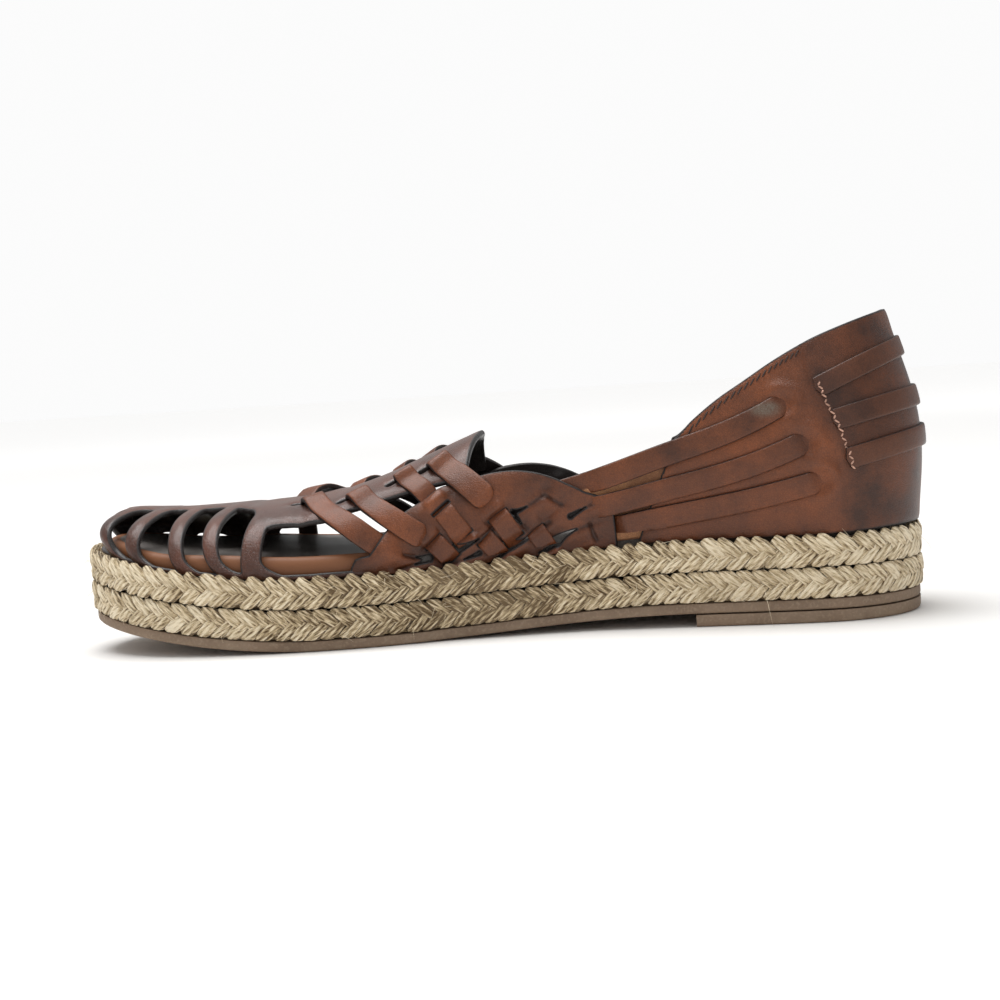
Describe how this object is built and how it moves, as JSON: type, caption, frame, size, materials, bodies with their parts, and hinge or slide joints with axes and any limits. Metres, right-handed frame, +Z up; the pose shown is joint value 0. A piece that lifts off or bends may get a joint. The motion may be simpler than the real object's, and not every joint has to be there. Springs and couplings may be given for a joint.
{
  "type": "espadrille shoe",
  "caption": "Slip-on espadrille for the right foot: woven leather strap upper with an open toe cage and low sides on a braided jute midsole, rubber outsole and low heel.",
  "frame": {"origin": "on the floor, under the middle of the shoe's bounding box", "axes": "+X towards the toe, +Y towards the inner side of the foot, +Z up"},
  "size_m": [0.263, 0.0904, 0.0916],
  "materials": {
    "rubber": "matt taupe rubber with a moulded edge",
    "jute": "pale straw jute braid with loose fibres",
    "footbed_leather": "smooth brown leather with a dark top",
    "upper_leather": "mid brown leather with a soft gloss and dark cut edges",
    "strap_leather": "brown leather with a soft gloss"
  },
  "bodies": {
    "root": {"outsole": "rubber", "heel_lift": "rubber", "jute_midsole_lower": "jute", "jute_midsole_upper": "jute", "insole": "footbed_leather", "upper": "upper_leather", "heel_strap_top": "strap_leather", "heel_strap_middle": "strap_leather", "heel_strap_bottom": "strap_leather"}
  },
  "joints": []
}
